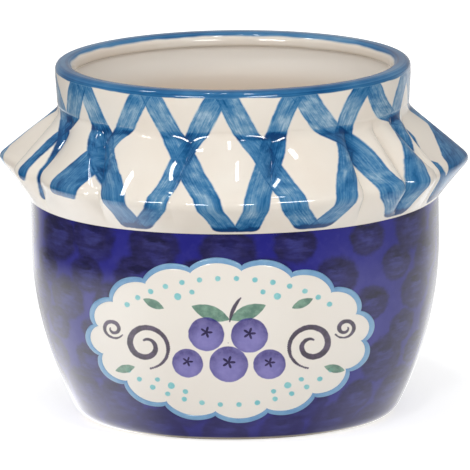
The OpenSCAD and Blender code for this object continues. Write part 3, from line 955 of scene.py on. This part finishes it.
def label_material():
    """Cream glaze with the drawing in thin brushed colours."""
    t = Surface("label_cream_glaze")
    colour = t.mix(0.7, cream(t), srgb(247, 241, 232))
    wobble = t.linear(t.cloud(420.0, 2.0, 0.5), 0.5, -0.25)
    wash = t.smooth(t.cloud(260.0, 4.0, 0.65), 0.35, 0.7)
    shade = t.smooth(t.number("berry_shade"), 0.35, 1.25)
    berry_blue = t.mix(shade, srgb(122, 116, 186), srgb(58, 48, 128))
    inks = [
        ("ink_dot", srgb(112, 196, 204), srgb(150, 214, 214)),
        ("ink_leaf", srgb(84, 128, 112), srgb(128, 168, 146)),
        ("ink_stroke", srgb(52, 44, 66), srgb(88, 72, 104)),
        ("ink_berry", berry_blue, t.mix(0.35, berry_blue, srgb(150, 142, 206))),
        ("ink_crown", srgb(40, 32, 62), srgb(64, 54, 92)),
    ]
    for name, strong, thin in inks:
        cover = t.fade(t.add(t.number(name), wobble), -0.2, 0.2)
        colour = t.mix(t.mul(cover, 0.93), colour, t.mix(wash, strong, thin))
    return t.glaze(colour, 0.04)


def border_material():
    t = Surface("label_blue_edge")
    blues = [(0.3, srgb(116, 160, 202)), (0.7, srgb(146, 186, 216))]
    return t.glaze(t.ramp(t.cloud(120.0, 3.0, 0.6), blues), 0.04)


def use(ob, material, node=None):
    """Give a piece its material and its body, and hide the CAD node that it stands in for."""
    ob.data.materials.append(material)
    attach(ob, "root")
    if node:
        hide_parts(node)


gingham = gingham_material()
use(jar_outside, jar_material(), "jar_body")
use(jar_inside, interior_material())
use(collar, gingham, "neck_collar")
use(lip, lip_material(), "rim_lip")
use(frill, gingham, "frill")
use(label, label_material(), "label_panel")
use(border, border_material(), "label_border")


# -------- floor and light
scene = bpy.context.scene
scene.view_settings.view_transform = "Standard"
FLOOR_HALF = 6.0
# Metres from the pot's middle: where the white sheets that the glaze reflects start and end
LEFT_END, BACK_LEFT_START, BACK_LEFT_END, RIGHT_END = (0.22, 0.38), (0.20, 0.34), (0.42, 0.55), (0.24, 0.62)
SHADOW_REACH = (0.15, 1.2)      # and over what distance the floor's own glow rises to white
# The room: its light on the pot; and how bright it is in the glaze, from in front (-1) to behind (1)
ROOM_LIGHT, ROOM_BEHIND, ROOM_LEVELS = 0.32, (-0.7, 0.3), (0.15, 0.45)


def floor_in_glaze(t, side, behind, away):
    """How bright the glaze reflects the floor: white sheets to the left and right, and dim in front.
    The direction from the pot is given by side and behind, from -1 to 1, and away is in metres."""
    left = t.mul(t.smooth(side, -0.40, -0.92), t.fade(away, *LEFT_END))
    left = t.mul(left, t.linear(t.smooth(behind, 0.0, 0.6), -1.1, 2.2))
    back_left = t.mul(t.smooth(behind, 0.3, 0.8), t.smooth(side, 0.0, -0.6))
    back_left = t.mul(back_left, t.mul(t.smooth(away, *BACK_LEFT_START), t.fade(away, *BACK_LEFT_END)))
    left = t.linear(back_left, 1.2, left)
    right = t.mul(t.smooth(side, 0.45, 0.95), t.fade(away, *RIGHT_END))
    back_right = t.mul(t.smooth(behind, 0.3, 0.8), t.smooth(side, 0.1, 0.6))
    right = t.linear(back_right, 0.6, t.mul(right, 1.1))
    return t.linear(t.smooth(behind, 0.3, 0.9), 0.35, t.add(t.add(left, right), 0.1))


def floor_material():
    """Matt white, lit and lifted to white for the camera; the glaze reflects white sheets on it."""
    t = Surface("pale_floor")
    t.feed(t.bsdf, {"Base Color": (0.9, 0.9, 0.9), "Roughness": 0.9, "Specular IOR Level": 0.0})
    ray = t.node("LightPath").outputs
    x, y, _ = t.split(t.place())
    away = t.length(x, y)
    reflected = floor_in_glaze(t, t.math("DIVIDE", x, away), t.math("DIVIDE", y, away), away)
    seen = t.mul(ray["Is Camera Ray"], t.linear(t.smooth(away, *SHADOW_REACH), 0.4, 0.58))
    lit = t.node("AddShader", (t.bsdf.outputs[0], t.emission(seen))).outputs[0]
    choice = t.node("MixShader", (ray["Is Glossy Ray"], lit, t.emission(reflected)))
    t.feed(t.output, choice.outputs[:1])
    return t.material


def white_floor():
    me = bpy.data.meshes.new("floor")
    corners = [(-1, -1), (1, -1), (1, 1), (-1, 1)]
    me.from_pydata([(x * FLOOR_HALF, y * FLOOR_HALF, 0) for x, y in corners], [], [(0, 1, 2, 3)])
    me.materials.append(floor_material())
    new_object("floor", me)


def white_room():
    """Even light all round; white to the camera, and in reflections paler behind than in front."""
    scene.world = bpy.data.worlds.new("studio")
    scene.world.use_nodes = True
    t = Tree(scene.world.node_tree)
    ray = t.node("LightPath").outputs
    behind = t.split(t.node("TexCoord").outputs["Generated"])[1]
    in_glaze = t.smooth(behind, *ROOM_BEHIND, *ROOM_LEVELS)
    strength = t.choose(ray["Is Camera Ray"], 1.0, t.choose(ray["Is Glossy Ray"], in_glaze, ROOM_LIGHT))
    t.feed(t.nodes["Background"], ((1.0, 1.0, 1.0), strength))


def aim(ob, place, direction, roll):
    """Put a lamp or the camera in its place, facing that way and rolled by some degrees."""
    ob.location = place
    ob.rotation_mode = "QUATERNION"
    turn = Quaternion((0, 0, 1), math.radians(roll))
    ob.rotation_quaternion = direction.to_track_quat("-Z", "Y") @ turn


def soft_box(name, place, size, power, target=(0, 0, 0.08), lights=True, shows=False, roll=0.0):
    """A lamp that the camera never sees; it may light the pot, show in its glaze, or both."""
    light = bpy.data.lights.new(name, "AREA")
    light.shape, light.energy = "RECTANGLE", power
    light.size, light.size_y = size
    ob = new_object(name, light)
    aim(ob, place, Vector(target) - Vector(place), roll)
    ob.visible_camera = False
    ob.visible_diffuse = lights
    ob.visible_glossy = shows


white_floor()
white_room()
# Large lamps light the pot. Windows and strips are the highlights in its glaze.
soft_box("fill_front", (0.0, -1.5, 0.62), (1.2, 0.5), 7.5, target=(0, 0, 0.14))
soft_box("fill_left", (-1.1, -0.9, 0.7), (0.9, 0.9), 2.6)
soft_box("fill_right", (1.1, -0.9, 0.7), (0.9, 0.9), 2.6)
soft_box("fill_top", (0.0, -0.1, 1.5), (1.0, 0.8), 2.0)
soft_box("window_left", (-0.78, -0.42, 1.22), (0.078, 0.21), 1.75, shows=True, roll=-20)
soft_box("window_right", (0.14, -0.66, 1.38), (0.075, 0.20), 1.45, shows=True)
soft_box("window_high", (-0.08, -0.38, 1.50), (0.05, 0.12), 0.45, shows=True)
soft_box("window_top", (-0.20, -0.32, 1.46), (0.05, 0.12), 0.6, shows=True)
soft_box("strip_left", (-0.58, -1.44, 0.30), (0.42, 0.14), 7.0, lights=False, shows=True)
soft_box("strip_right", (0.42, -1.50, 0.34), (0.42, 0.14), 7.0, lights=False, shows=True)

# -------- camera
AZIMUTH, ELEVATION, ROLL = 2.1, 13.4, 0.75      # degrees
DISTANCE, AIM_Z = 9.0, 0.0776                   # metres
MM_PER_PIXEL, PICTURE = 0.4264, 470
SENSOR = 36.0                                   # mm

camera = bpy.data.cameras.new("camera")
camera.sensor_width = SENSOR
camera.lens = SENSOR * DISTANCE / (PICTURE * MM_PER_PIXEL / 1000)
camera.clip_start, camera.clip_end = 0.1, 50
scene.camera = new_object("camera", camera)
az, el = math.radians(AZIMUTH), math.radians(ELEVATION)
back = Vector((math.sin(az) * math.cos(el), -math.cos(az) * math.cos(el), math.sin(el)))
aim(scene.camera, Vector((0, 0, AIM_Z)) + back * DISTANCE, -back, -ROLL)
